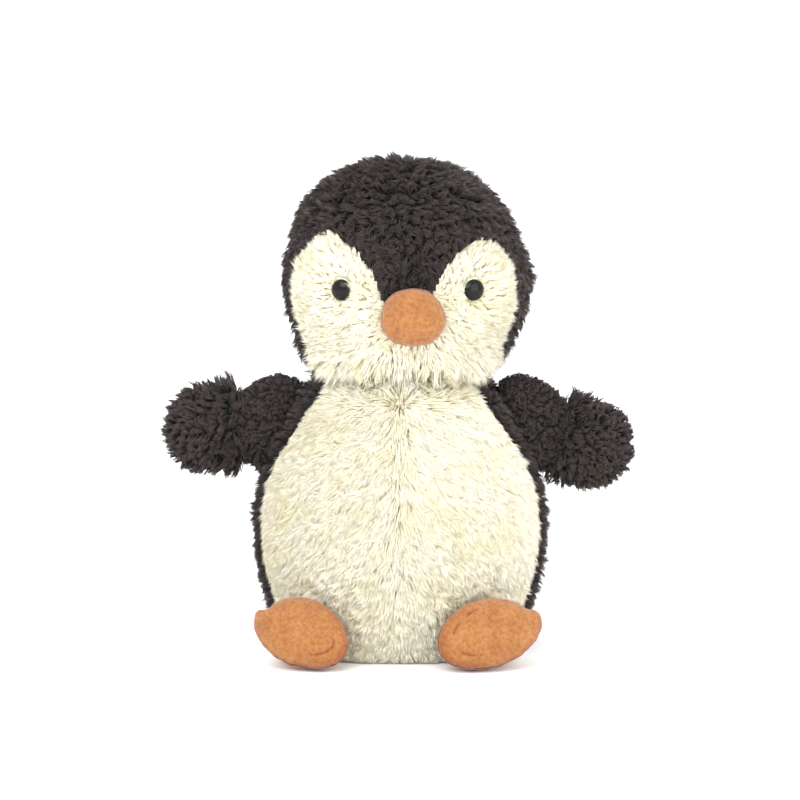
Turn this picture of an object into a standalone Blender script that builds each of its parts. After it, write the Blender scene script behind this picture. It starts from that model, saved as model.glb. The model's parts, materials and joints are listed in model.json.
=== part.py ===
"""A plush penguin that sits: pile fabric panels over stuffing, with a weighted seat.

Metres, +Z up. It faces -Y, its own left side is +X, and the origin is the middle of the
flat face that it sits on. Every panel is a thin shell cut from a closed form along its
seams, and every stuffing is the same form, a little smaller.
"""
import math

import bmesh
import bpy
from mathutils import Matrix, Vector

# Fabric and fits
FABRIC = 0.0012          # a panel's backing
GAP = 0.0003             # between pieces that touch
SEGMENTS = 24            # round each body form
SQUARENESS = 2.3         # superellipse exponent of the body's sections; 2 is an ellipse

# Torso and head sections: (height, half width, front, back, centre x)
TORSO = [
    (0.0000, 0.0430, 0.0390, 0.0420, 0.0),
    (0.0045, 0.0505, 0.0455, 0.0485, 0.0),
    (0.0150, 0.0555, 0.0495, 0.0535, 0.0),
    (0.0300, 0.0600, 0.0530, 0.0580, 0.0),
    (0.0450, 0.0632, 0.0550, 0.0600, 0.0),
    (0.0600, 0.0640, 0.0550, 0.0595, 0.0),
    (0.0750, 0.0622, 0.0530, 0.0570, 0.0),
    (0.0900, 0.0568, 0.0490, 0.0520, 0.0),
    (0.1050, 0.0492, 0.0440, 0.0460, 0.0),
    (0.1200, 0.0415, 0.0400, 0.0408, 0.0),
    (0.1300, 0.0390, 0.0388, 0.0390, 0.0),
    (0.1400, 0.0385, 0.0385, 0.0385, 0.0),
]
HEAD = [
    (0.1210, 0.0388, 0.0386, 0.0386, 0.0),
    (0.1310, 0.0396, 0.0390, 0.0390, 0.0005),
    (0.1420, 0.0445, 0.0435, 0.0430, 0.0020),
    (0.1570, 0.0510, 0.0495, 0.0490, 0.0035),
    (0.1740, 0.0545, 0.0515, 0.0515, 0.0035),
    (0.1900, 0.0490, 0.0480, 0.0495, 0.0022),
    (0.2040, 0.0438, 0.0415, 0.0430, 0.0010),
    (0.2140, 0.0350, 0.0325, 0.0340, 0.0008),
    (0.2212, 0.0225, 0.0205, 0.0215, 0.0008),
    (0.2240, 0.0090, 0.0085, 0.0085, 0.0008),
]
CROWN = 0.2245
HEAD_X = 0.0035          # the face sits a little to its left

# Seams
BASE_SEAM = 0.0035       # height of the seat's edge
SIDE_SEAM = [(-0.024, -0.010), (-0.021, 0.020), (-0.016, 0.050), (-0.013, 0.085),
             (-0.017, 0.105), (-0.022, 0.125), (-0.022, 0.160)]    # (y, z) between belly and back
FACE_OUTLINE = [(0.0, 0.120), (0.0325, 0.120), (0.0345, 0.131), (0.0415, 0.148), (0.0470, 0.166),
                (0.0458, 0.180), (0.0405, 0.191), (0.0325, 0.1965), (0.0240, 0.1915),
                (0.0152, 0.180), (0.0108, 0.168), (0.0, 0.166)]   # (x, z), half, from the chin
FACE_BACK = -0.002       # how far back the face panels reach
FACE_RIGHT_SHARE = 1.06  # the face's right half is a little wider than its left
FACE_LEFT_SHARE = 0.88   # the face's left lobe stands less far above the eye than its right
GUSSET_HALF = [(0.0120, 0.110), (0.0125, 0.160), (0.0210, 0.196), (0.0210, 0.240)]

# Neck: a ball of stuffing in two round seats, with a groove that lets the head lean
NECK = Vector((0.0, 0.0, 0.130))
BALL_R = 0.031
SEAT_R = 0.0355
GROOVE = math.radians(8)
STUFFING_STOP = 0.012    # how far the stuffings end from the neck's middle
GATHER_R, GATHER_THREAD = 0.0333, 0.0009

# Weighted seat
POUCH = (0.038, 0.033, 0.024)      # half width, half depth and height of the bean pouch
POUCH_CLOTH = 0.0007
POUCH_NECK, POUCH_MOUTH = 0.005, 0.004    # the mouth's radius, and how far its cutter stands out
POUCH_SKIRT = 0.01                 # straight room below the pouch, down to the floor

# Face
EYE_SPREAD, EYE_Z, EYE_R, EYE_H = 0.0295, 0.1733, 0.0050, 0.0036
EYE_EDGE = 0.0008                  # thickness of the dome's rim
EYE_HOLE_DEPTH, EYE_CUT_TOP = 0.006, 0.010   # the hole's cutter, in and out of the skin
SHANK_R, SHANK_L, WASHER_R, WASHER_T, WASHER_DROP = 0.0014, 0.0075, 0.0048, 0.0012, 0.0021
BEAK = Vector((0.0057, -0.0570, 0.1618))
BEAK_OUTLINE = [(0.0, -0.0145), (0.0093, -0.0124), (0.0151, -0.0055), (0.0155, 0.0020),
                (0.0125, 0.0090), (0.0064, 0.0133), (0.0, 0.0143)]   # half, from below
BEAK_FRONT, BEAK_BACK = 0.0092, 0.0110

# Wings: a flat round root that turns on the seam line, and a paddle that turns on the root
WING = Vector((0.0555, -0.004, 0.1055))
SEAM_LEAN = math.radians(24)
ROOT_R, ROOT_HALF = 0.022, 0.0040
HEM_R, HEM_LENGTH = 0.0038, 0.041  # the rounded edge that turns in the side seam
WING_DROOP = {"left": math.radians(15), "right": math.radians(2)}
WING_OUTLINE = [(0.004, -0.0140), (0.019, -0.0172), (0.033, -0.0195), (0.046, -0.0150),
                (0.0515, -0.001), (0.0465, 0.0130), (0.034, 0.0178), (0.019, 0.0165),
                (0.004, 0.0150)]
WING_HALF, WING_ROOT_SHARE = 0.0082, 0.55
WING_SWELL = (0.014, 0.034)        # where a wing starts to thicken, and where it is full

# Feet: plump pads that stand on their lower edge and lean back on the belly
FOOT = {"left": Vector((0.0409, -0.0615, 0.0)), "right": Vector((-0.0451, -0.0600, 0.0))}
FOOT_WIDTH = {"left": 0.0520, "right": 0.0470}
FOOT_LEAN = math.radians(22)
FOOT_SPLAY = math.radians(8)
FOOT_OUTLINE = [(-0.0258, -0.0045), (-0.0242, -0.0103), (-0.0188, -0.0154), (-0.0087, -0.0176),
                (0.0050, -0.0162), (0.0145, -0.0115), (0.0225, -0.0040), (0.0258, 0.0028),
                (0.0248, 0.0098), (0.0210, 0.0114), (0.0180, 0.0104), (0.0158, 0.0138), (0.0105, 0.0166),
                (0.0020, 0.0178), (-0.0080, 0.0160), (-0.0165, 0.0112), (-0.0230, 0.0040)]
FOOT_FRONT, FOOT_BACK = 0.0078, 0.0145
HEEL_Y, HEEL_Z = -0.0430, 0.0080           # the heel seam, square to each foot

# Care label, sewn into the back's centre seam
LABEL_Z, LABEL_HALF_HEIGHT, LABEL_REACH, LABEL_T = 0.040, 0.010, 0.014, 0.0011

COLOURS = {
    "dark": ((0.040, 0.030, 0.028), 0.95), "cream": ((0.93, 0.90, 0.78), 0.95),
    "orange": ((0.74, 0.34, 0.13), 0.90), "black": ((0.008, 0.008, 0.009), 0.12),
    "white": ((0.90, 0.90, 0.88), 0.85), "stuffing": ((0.92, 0.92, 0.90), 1.0),
    "cloth": ((0.80, 0.78, 0.72), 0.9), "pellets": ((0.75, 0.78, 0.80), 0.5),
    "washer": ((0.85, 0.85, 0.83), 0.5), "thread": ((0.10, 0.09, 0.085), 0.8),
}
FAR = 0.3                # reaches past the whole penguin


# Scene and objects

def clear_scene():
    for obj in list(bpy.data.objects):
        bpy.data.objects.remove(obj, do_unlink=True)


def material(name):
    found = bpy.data.materials.get(name)
    if found:
        return found
    made = bpy.data.materials.new(name)
    made.use_nodes = True
    colour, roughness = COLOURS[name]
    shader = made.node_tree.nodes["Principled BSDF"]
    shader.inputs["Base Color"].default_value = (*colour, 1.0)
    shader.inputs["Roughness"].default_value = roughness
    shader.inputs["Metallic"].default_value = 0.0
    made.diffuse_color = (*colour, 1.0)
    return made


def pivot(name, matrix, parent=None):
    """An empty on a joint's axis. The pieces that move with the joint hang on it."""
    empty = bpy.data.objects.new(name, None)
    empty.empty_display_size = 0.02
    bpy.context.scene.collection.objects.link(empty)
    empty.parent = parent
    bpy.context.view_layer.update()
    empty.matrix_world = matrix
    bpy.context.view_layer.update()
    return empty


def face_out(bm):
    bmesh.ops.recalc_face_normals(bm, faces=bm.faces)
    if bm.calc_volume(signed=True) < 0:
        bmesh.ops.reverse_faces(bm, faces=bm.faces)


def add_object(name, bm, colour=None, parent=None, local=False):
    """An object from a bmesh, closed and facing out. With no colour it is a hidden cutter.

    local says that the mesh is in its parent's space; otherwise it is in the world's.
    """
    face_out(bm)
    mesh = bpy.data.meshes.new(name)
    bm.to_mesh(mesh)
    bm.free()
    obj = bpy.data.objects.new(name, mesh)
    bpy.context.scene.collection.objects.link(obj)
    if parent:
        obj.parent = parent
        if not local:
            obj.matrix_parent_inverse = parent.matrix_world.inverted()
    if colour:
        mesh.materials.append(material(colour))
        mesh.shade_smooth()
        mesh.set_sharp_from_angle(angle=math.radians(50))
    else:
        obj.hide_render = True
        obj.display_type = "WIRE"
    return obj


def combine(obj, operation, *others):
    for other in others:
        modifier = obj.modifiers.new(operation.title() + "_" + other.name, "BOOLEAN")
        modifier.operation = operation
        modifier.solver = "EXACT"
        modifier.object = other
    return obj


# Curves and forms

def smooth(points, steps, closed=False):
    """A Catmull-Rom curve through the points, with steps spans between two of them."""
    vectors = [Vector(p) for p in points]
    count = len(vectors)
    if closed:
        def at(i):
            return vectors[i % count]
    else:
        def at(i):
            return vectors[min(max(i, 0), count - 1)]
    curve = []
    for i in range(count if closed else count - 1):
        a, b, c, d = at(i - 1), at(i), at(i + 1), at(i + 2)
        for k in range(steps):
            t = k / steps
            curve.append(0.5 * (2 * b + (c - a) * t + (2 * a - 5 * b + 4 * c - d) * t * t
                                + (3 * b - a - 3 * c + d) * t ** 3))
    if not closed:
        curve.append(vectors[-1])
    return curve


def superellipse(angle, half, front, back):
    c, s = math.cos(angle), math.sin(angle)
    x = half * math.copysign(abs(c) ** (2 / SQUARENESS), c)
    y = (back if s > 0 else front) * math.copysign(abs(s) ** (2 / SQUARENESS), s)
    return x, y


def surface_y(stations, x, z):
    """The front surface of a form at x and z."""
    for low, high in zip(stations, stations[1:]):
        if low[0] <= z <= high[0]:
            t = (z - low[0]) / (high[0] - low[0])
            _, half, front, _, centre = (a + (b - a) * t for a, b in zip(low, high))
            share = min(abs(x - centre) / half, 1.0)
            return -front * (1 - share ** SQUARENESS) ** (1 / SQUARENESS)
    raise ValueError("the height is outside the form")


def skin_ring(bm, low, high):
    count = len(low)
    for k in range(count):
        bm.faces.new((low[k], low[(k + 1) % count], high[(k + 1) % count], high[k]))


def fan(bm, ring, tip):
    for k, vert in enumerate(ring):
        bm.faces.new((vert, ring[(k + 1) % len(ring)], tip))


def loft(stations, crown=None):
    """A closed form through the stations, flat below, and flat or domed above."""
    bm = bmesh.new()
    rings = []
    for z, half, front, back, centre in stations:
        ring = []
        for k in range(SEGMENTS):
            x, y = superellipse(2 * math.pi * k / SEGMENTS, half, front, back)
            ring.append(bm.verts.new((centre + x, y, z)))
        rings.append(ring)
    for low, high in zip(rings, rings[1:]):
        skin_ring(bm, low, high)
    bm.faces.new(rings[0])
    if crown is None:
        bm.faces.new(rings[-1])
    else:
        fan(bm, rings[-1], bm.verts.new((stations[-1][4], 0.0, crown)))
    return bm


def full(point):
    return 1.0


def dome(bm, outline, height, base=0.0, inset=0.0, share=full, rings=4):
    """A puffed dome over the outline, inset all round: its rim, which it leaves open.

    A negative height makes it hang below its rim. share is the height's share at a point.
    """
    inner = grown(outline, -inset, closed=True)
    middle = sum(inner, Vector((0.0, 0.0))) / len(inner)
    up = math.copysign(1.0, height)
    rim = [bm.verts.new((*p, up * base)) for p in inner]
    last = rim
    for r in range(1, rings + 1):
        angle = 0.5 * math.pi * r / rings
        places = [middle + (p - middle) * math.cos(angle) for p in inner]
        if r == rings:
            places = [middle]
        ring = [bm.verts.new((*p, up * (base + (abs(height) * share(p) - inset - base) * math.sin(angle))))
                for p in places]
        if r == rings:
            fan(bm, last, ring[0])
        else:
            skin_ring(bm, last, ring)
        last = ring
    return rim


def pad_panel(outline, height, share=full, rings=4):
    """One side of a puffed pad: a shell with its open side at the pad's rim."""
    bm = bmesh.new()
    outside = dome(bm, outline, height, GAP / 2, 0.0, share, rings)
    inside = dome(bm, outline, height, GAP / 2, FABRIC, share, rings)
    skin_ring(bm, outside, inside)
    return bm


def pad_filling(outline, front, back, share=full, rings=4):
    """What is inside a puffed pad."""
    bm = bmesh.new()
    inset = FABRIC + GAP
    dome(bm, outline, front, 0.0, inset, share, rings)
    dome(bm, outline, -back, 0.0, inset, share, rings)
    bmesh.ops.remove_doubles(bm, verts=bm.verts, dist=1e-6)
    return bm


def moved(bm, inset=0.0, matrix=None):
    """The form with its skin moved in by inset (out, if negative), and then placed."""
    face_out(bm)
    bm.normal_update()
    places = [v.co - v.normal * inset * v.calc_shell_factor() for v in bm.verts]
    for vert, place in zip(bm.verts, places):
        vert.co = place
    if matrix is not None:
        bm.transform(matrix)
    return bm


def prism(points, low, high, axis):
    """The closed outline of points, drawn square to axis, extruded from low to high."""
    bm = bmesh.new()
    places = {"X": lambda p, d: (d, p[0], p[1]), "Y": lambda p, d: (p[0], d, p[1])}[axis]
    rings = [[bm.verts.new(places(p, d)) for p in points] for d in (low, high)]
    skin_ring(bm, *rings)
    for ring in rings:
        bm.faces.new(ring)
    return bm


def box(low, high):
    bm = bmesh.new()
    size = [b - a for a, b in zip(low, high)]
    centre = [(a + b) / 2 for a, b in zip(low, high)]
    bmesh.ops.create_cube(bm, size=1.0, matrix=Matrix.Translation(centre) @ Matrix.Diagonal((*size, 1)))
    return bm


def turned(profile, segments=32):
    """A solid turned about Z from a profile of (radius, height), its ends on the axis."""
    bm = bmesh.new()
    ends = [bm.verts.new((0.0, 0.0, profile[k][1])) for k in (0, -1)]
    rings = []
    for radius, height in profile[1:-1]:
        rings.append([bm.verts.new((radius * math.cos(a), radius * math.sin(a), height))
                      for a in (2 * math.pi * k / segments for k in range(segments))])
    for low, high in zip(rings, rings[1:]):
        skin_ring(bm, low, high)
    fan(bm, rings[0], ends[0])
    fan(bm, rings[-1], ends[1])
    return bm


def grown(points, amount, closed=False):
    """An outline that runs anticlockwise, moved outwards by amount."""
    vectors = [Vector(p) for p in points]
    count = len(vectors)
    result = []
    for i, point in enumerate(vectors):
        if closed:
            run = vectors[(i + 1) % count] - vectors[i - 1]
        else:
            run = vectors[min(i + 1, count - 1)] - vectors[max(i - 1, 0)]
        result.append(point + Vector((run.y, -run.x)).normalized() * amount)
    return result


# Torso

def make_torso():
    outer = add_object("cutter_torso_inside", moved(loft(TORSO), FABRIC))
    neck_cut = add_object("cutter_torso_neck", neck_cutter(-1))
    seam = smooth(SIDE_SEAM, 3)
    for side, sign in (("left", 1), ("right", -1)):
        span = sorted((sign * GAP / 2, sign * FAR))
        half = box((span[0], -FAR, BASE_SEAM + GAP), (span[1], FAR, FAR))
        half = add_object("cutter_torso_half_" + side, half)
        for name, colour, edge, shift in (("belly", "cream", -FAR, -GAP / 2), ("back", "dark", FAR, GAP / 2)):
            line = [(y + shift, z) for y, z in seam]
            outline = line + [(edge, seam[-1].y), (edge, seam[0].y)]
            keep = add_object(f"cutter_{name}_{side}", prism(outline, *span, "X"))
            panel = add_object(f"{name}_panel_{side}", loft(TORSO), colour)
            combine(panel, "INTERSECT", keep, half)
            combine(panel, "DIFFERENCE", neck_cut, outer)
    base = add_object("base_panel", loft(TORSO), "dark")
    below = add_object("cutter_base", box((-FAR, -FAR, -FAR), (FAR, FAR, BASE_SEAM)))
    combine(base, "INTERSECT", below)
    combine(base, "DIFFERENCE", outer)
    make_seat()
    make_label()


def make_seat():
    """The torso's stuffing, with the bean pouch in its foot."""
    floor = FABRIC + 2 * GAP

    def mound(shrink, low, skirt=0.0):
        """Half an egg that stands on low, with a straight skirt below it."""
        half, depth, height = (size - shrink for size in POUCH)
        profile = [(0.0, low - skirt)]
        if skirt:
            profile.append((1.0, low - skirt))
        profile += [(math.cos(a), low + (height + floor - low) * math.sin(a))
                    for a in (0.5 * math.pi * k / 5 for k in range(5))]
        bm = turned(profile + [(0.0, height + floor)], 16)
        bm.transform(Matrix.Diagonal((half, depth, 1, 1)))
        return bm

    stuffing = add_object("torso_stuffing", moved(loft(TORSO), FABRIC + GAP), "stuffing")
    stop = NECK.z - STUFFING_STOP
    above = add_object("cutter_torso_stop", box((-FAR, -FAR, stop), (FAR, FAR, FAR)))
    seat = add_object("cutter_torso_seat", ball(SEAT_R))
    hollow = add_object("cutter_pouch_room", mound(-GAP, floor, POUCH_SKIRT))
    combine(stuffing, "DIFFERENCE", above, seat, hollow)
    pouch = add_object("bean_pouch", mound(0.0, floor), "cloth")
    inside = add_object("cutter_pouch_inside", mound(POUCH_CLOTH, floor + POUCH_CLOTH))
    top = POUCH[2] + POUCH_MOUTH
    mouth = turned([(0.0, top / 2), (POUCH_NECK, top / 2), (POUCH_NECK, top), (0.0, top)], 12)
    mouth = add_object("cutter_pouch_mouth", mouth)
    combine(pouch, "DIFFERENCE", inside, mouth)
    add_object("bean_pellets", mound(POUCH_CLOTH + GAP, floor + POUCH_CLOTH + GAP), "pellets")


def make_label():
    back = max(s[3] for s in TORSO)
    low = (-LABEL_T / 2, back + GAP, LABEL_Z - LABEL_HALF_HEIGHT)
    high = (LABEL_T / 2, back + LABEL_REACH, LABEL_Z + LABEL_HALF_HEIGHT)
    add_object("care_label", box(low, high), "white")


# Neck and head

def ball(radius, segments=20, rings=10):
    profile = [(radius * math.sin(a), -radius * math.cos(a))
               for a in (math.pi * k / rings for k in range(rings + 1))]
    bm = turned(profile, segments)
    bm.transform(Matrix.Translation(NECK))
    return bm


def neck_cutter(up):
    """What the groove and the round seat take from the head (up 1) or the torso (up -1)."""
    rise = math.tan(GROOVE)
    start = Vector((SEAT_R * math.cos(GROOVE), SEAT_R * math.sin(GROOVE)))
    profile = [(0.0, -FAR / 2), (FAR / 2, -FAR / 2), (FAR / 2, FAR / 2 * rise), tuple(start)]
    profile += [(SEAT_R * math.cos(a), SEAT_R * math.sin(a))
                for a in (GROOVE + (0.5 * math.pi - GROOVE) * k / 5 for k in range(1, 5))]
    profile.append((0.0, SEAT_R))
    bm = turned(profile, 48)
    bm.transform(Matrix.Translation(NECK) @ Matrix.Diagonal((1, 1, up, 1)))
    return bm


def make_neck(parent):
    add_object("neck_stuffing", ball(BALL_R, 16, 8), "stuffing", parent)
    bm = bmesh.new()
    rings = []
    for k in range(24):
        turn = Matrix.Translation(NECK) @ Matrix.Rotation(2 * math.pi * k / 24, 4, "Z")
        rings.append([bm.verts.new(turn @ Vector((GATHER_R + GATHER_THREAD * math.cos(a), 0.0,
                                                  GATHER_THREAD * math.sin(a))))
                      for a in (2 * math.pi * j / 5 for j in range(5))])
    for k, ring in enumerate(rings):
        skin_ring(bm, ring, rings[(k + 1) % len(rings)])
    add_object("neck_gather", bm, "thread", parent)


def face_outline(amount):
    """The closed face outline, both halves, grown by amount, about the head's middle."""
    half = smooth(FACE_OUTLINE[1:-1], 2)
    half = [Vector(FACE_OUTLINE[0])] + half + [Vector(FACE_OUTLINE[-1])]
    half = grown(half, amount)
    half[0].x = half[-1].x = 0.0
    mirrored = [Vector((-p.x * FACE_RIGHT_SHARE, p.y)) for p in reversed(half[1:-1])]
    for p in half[1:-1]:
        p.y -= max(0.0, p.y - EYE_Z) * (1 - FACE_LEFT_SHARE)
    return [(p.x + HEAD_X, p.y) for p in half + mirrored]


def gusset_outline(amount):
    right = [(x + amount, z) for x, z in GUSSET_HALF]
    left = [(-x, z) for x, z in reversed(right)]
    return [(x + HEAD_X, z) for x, z in right + left]


def make_head(parent):
    inside = add_object("cutter_head_inside", moved(loft(HEAD, CROWN), FABRIC), parent=parent)
    neck_cut = add_object("cutter_head_neck", neck_cutter(1), parent=parent)
    face = add_object("cutter_face", prism(face_outline(0.0), -FAR, FACE_BACK, "Y"), parent=parent)
    around_face = prism(face_outline(GAP), -FAR, FACE_BACK + GAP, "Y")
    no_face = add_object("cutter_not_face", around_face, parent=parent)
    strip = add_object("cutter_gusset", prism(gusset_outline(0.0), -FAR, FAR, "Y"), parent=parent)
    no_strip = add_object("cutter_not_gusset", prism(gusset_outline(GAP), -FAR, FAR, "Y"), parent=parent)
    gusset = add_object("hood_gusset", loft(HEAD, CROWN), "dark", parent)
    combine(gusset, "INTERSECT", strip)
    combine(gusset, "DIFFERENCE", no_face, neck_cut, inside)
    stuffing = add_object("head_stuffing", moved(loft(HEAD, CROWN), FABRIC + GAP), "stuffing", parent)
    stop = NECK.z + STUFFING_STOP
    below = add_object("cutter_head_stop", box((-FAR, -FAR, 0.0), (FAR, FAR, stop)), parent=parent)
    seat = add_object("cutter_head_seat", ball(SEAT_R), parent=parent)
    combine(stuffing, "DIFFERENCE", below, seat)
    for side, sign in (("left", 1), ("right", -1)):
        span = sorted((HEAD_X + sign * GAP / 2, HEAD_X + sign * FAR))
        half = box((span[0], -FAR, 0.0), (span[1], FAR, FAR))
        half = add_object("cutter_head_half_" + side, half, parent=parent)
        hood = add_object("hood_panel_" + side, loft(HEAD, CROWN), "dark", parent)
        combine(hood, "INTERSECT", half)
        combine(hood, "DIFFERENCE", no_face, no_strip, neck_cut, inside)
        cheek = add_object("face_panel_" + side, loft(HEAD, CROWN), "cream", parent)
        combine(cheek, "INTERSECT", face, half)
        hole, pocket = make_eye(side, sign, parent)
        combine(cheek, "DIFFERENCE", neck_cut, inside, hole)
        combine(stuffing, "DIFFERENCE", pocket)
    make_beak(parent)


def make_eye(side, sign, parent):
    """A domed eye on a shank, its washer, and the cutters for its hole and its pocket."""
    x = HEAD_X + sign * EYE_SPREAD
    step = 0.001
    here = Vector((x, surface_y(HEAD, x, EYE_Z), EYE_Z))
    across = Vector((x + step, surface_y(HEAD, x + step, EYE_Z), EYE_Z)) - here
    upwards = Vector((x, surface_y(HEAD, x, EYE_Z + step), EYE_Z + step)) - here
    outward = across.cross(upwards).normalized()
    place = Matrix.Translation(here) @ outward.to_track_quat("Z", "Y").to_matrix().to_4x4()

    foot = 2 * GAP
    dome = [(EYE_R * math.cos(a), foot + EYE_EDGE + (EYE_H - EYE_EDGE) * math.sin(a))
            for a in (0.5 * math.pi * k / 4 for k in range(4))]
    profile = [(0.0, -SHANK_L), (SHANK_R, -SHANK_L), (SHANK_R, foot), (EYE_R * 0.96, foot)]
    eye = turned(profile + dome + [(0.0, foot + EYE_H)], 16)
    eye.transform(place)
    add_object("eye_" + side, eye, "black", parent)

    bm = bmesh.new()
    back = -FABRIC - WASHER_DROP
    corners = [(SHANK_R + GAP, back - WASHER_T), (WASHER_R, back - WASHER_T),
               (WASHER_R, back), (SHANK_R + GAP, back)]
    rings = [[bm.verts.new((r * math.cos(a), r * math.sin(a), z))
              for a in (2 * math.pi * k / 16 for k in range(16))] for r, z in corners]
    for k in range(4):
        skin_ring(bm, rings[k], rings[(k + 1) % 4])
    bm.transform(place)
    add_object("eye_washer_" + side, bm, "washer", parent)

    cutters = []
    for name, radius, depth in (("hole", SHANK_R + GAP, EYE_HOLE_DEPTH),
                                ("pocket", WASHER_R + GAP, SHANK_L + GAP)):
        bm = turned([(0.0, -depth), (radius, -depth), (radius, EYE_CUT_TOP), (0.0, EYE_CUT_TOP)], 20)
        bm.transform(place)
        cutters.append(add_object(f"cutter_eye_{name}_{side}", bm, parent=parent))
    return cutters


def make_beak(parent):
    half = smooth(BEAK_OUTLINE, 2)
    outline = half + [Vector((-p.x, p.y)) for p in reversed(half[1:-1])]
    place = Matrix.Translation(BEAK) @ Matrix.Rotation(math.pi / 2, 4, "X")
    bed = add_object("cutter_beak_bed", moved(loft(HEAD, CROWN), -GAP), parent=parent)
    front = pad_panel(outline, BEAK_FRONT, rings=3)
    band = pad_panel(outline, -BEAK_BACK, rings=3)
    filling = pad_filling(outline, BEAK_FRONT, BEAK_BACK, rings=3)
    for bm in (front, band, filling):
        bm.transform(place)
    add_object("beak_front", front, "orange", parent)
    combine(add_object("beak_band", band, "orange", parent), "DIFFERENCE", bed)
    combine(add_object("beak_stuffing", filling, "stuffing", parent), "DIFFERENCE", bed)


# Wings

def make_wing(side, sign):
    centre = Vector((sign * WING.x, WING.y, WING.z))
    seam = pivot("wing_seam_" + side, Matrix.Translation(centre))
    mirror = Matrix.Diagonal((sign, 1, 1, 1))

    root = bmesh.new()
    bmesh.ops.create_cone(root, cap_ends=True, segments=40, radius1=ROOT_R, radius2=ROOT_R,
                          depth=2 * ROOT_HALF)
    root.transform(Matrix.Rotation(math.pi / 2, 4, "X"))
    lean = Matrix.Rotation(-SEAM_LEAN, 4, "Y")
    inner = box((-FAR, -FAR, -FAR), (0.0, FAR, FAR))
    hem = bmesh.new()
    bmesh.ops.create_cone(hem, cap_ends=True, segments=16, radius1=HEM_R, radius2=HEM_R, depth=HEM_LENGTH)
    for bm in (inner, hem):
        bm.transform(mirror @ lean)
    root_object = add_object("wing_root_" + side, root, "dark", seam, local=True)
    combine(root_object, "DIFFERENCE", add_object("cutter_root_" + side, inner, None, seam, True))
    combine(root_object, "UNION", add_object("cutter_hem_" + side, hem, None, seam, True))

    flap = pivot("wing_flap_" + side, Matrix.Translation(centre), seam)
    droop = Matrix.Rotation(WING_DROOP[side], 4, "Y")
    place = mirror @ droop @ Matrix.Rotation(math.pi / 2, 4, "X")

    def share(point):
        t = min(max((point.x - WING_SWELL[0]) / (WING_SWELL[1] - WING_SWELL[0]), 0.0), 1.0)
        return WING_ROOT_SHARE + (1 - WING_ROOT_SHARE) * t * t * (3 - 2 * t)

    bite = bmesh.new()
    bmesh.ops.create_cone(bite, cap_ends=True, segments=60, radius1=ROOT_R + GAP,
                          radius2=ROOT_R + GAP, depth=0.1)
    bite.transform(Matrix.Rotation(math.pi / 2, 4, "X"))
    bite = add_object("cutter_wing_bite_" + side, bite, None, flap, True)
    outline = smooth(WING_OUTLINE, 2, closed=True)
    pieces = [("wing_front_panel_", "dark", pad_panel(outline, WING_HALF, share)),
              ("wing_back_panel_", "dark", pad_panel(outline, -WING_HALF, share)),
              ("wing_stuffing_", "stuffing", pad_filling(outline, WING_HALF, WING_HALF, share))]
    for name, colour, bm in pieces:
        bm.transform(place)
        combine(add_object(name + side, bm, colour, flap, True), "DIFFERENCE", bite)


# Feet

def make_foot(side, sign):
    width = FOOT_WIDTH[side] / (2 * max(p[0] for p in FOOT_OUTLINE))
    outline = [(x * width, y) for x, y in FOOT_OUTLINE]
    stand = Matrix.Rotation(math.pi / 2 - FOOT_LEAN, 4, "X")
    turn = Matrix.Diagonal((sign, 1, 1, 1)) @ Matrix.Rotation(FOOT_SPLAY, 4, "Z") @ stand

    pieces = [("foot_upper_panel_", "orange", pad_panel(outline, FOOT_FRONT)),
              ("foot_sole_panel_", "orange", pad_panel(outline, -FOOT_BACK)),
              ("foot_stuffing_", "stuffing", pad_filling(outline, FOOT_FRONT, FOOT_BACK))]
    heel = Vector((FOOT[side].x, HEEL_Y, HEEL_Z))
    parent = pivot("foot_heel_" + side, Matrix.Translation(heel))
    for _, _, bm in pieces:
        bm.transform(Matrix.Translation(FOOT[side]) @ turn)
    lowest = min(v.co.z for _, _, bm in pieces for v in bm.verts)
    for name, colour, bm in pieces:
        bm.transform(Matrix.Translation((0.0, 0.0, -lowest)))
        add_object(name + side, bm, colour, parent)


clear_scene()
make_torso()
neck_pivot = pivot("neck_pivot", Matrix.Translation(NECK))
make_neck(neck_pivot)
head_pivot = pivot("head_pivot", Matrix.Translation(NECK), neck_pivot)
make_head(head_pivot)
for wing_side, wing_sign in (("left", 1), ("right", -1)):
    make_wing(wing_side, wing_sign)
    make_foot(wing_side, wing_sign)
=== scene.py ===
"""The looks of a plush penguin: pile, cloth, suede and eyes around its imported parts.

Metres, +Z up. It faces -Y, and its own left side is +X. Each body form is puffed from its CAD
solids by a cloth simulation, cut along the CAD seams into panels, and grown over with strands.
"""
import json
import math

import bpy
import numpy as np
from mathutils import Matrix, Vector, noise
from mathutils.bvhtree import BVHTree
from mathutils.kdtree import KDTree


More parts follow.
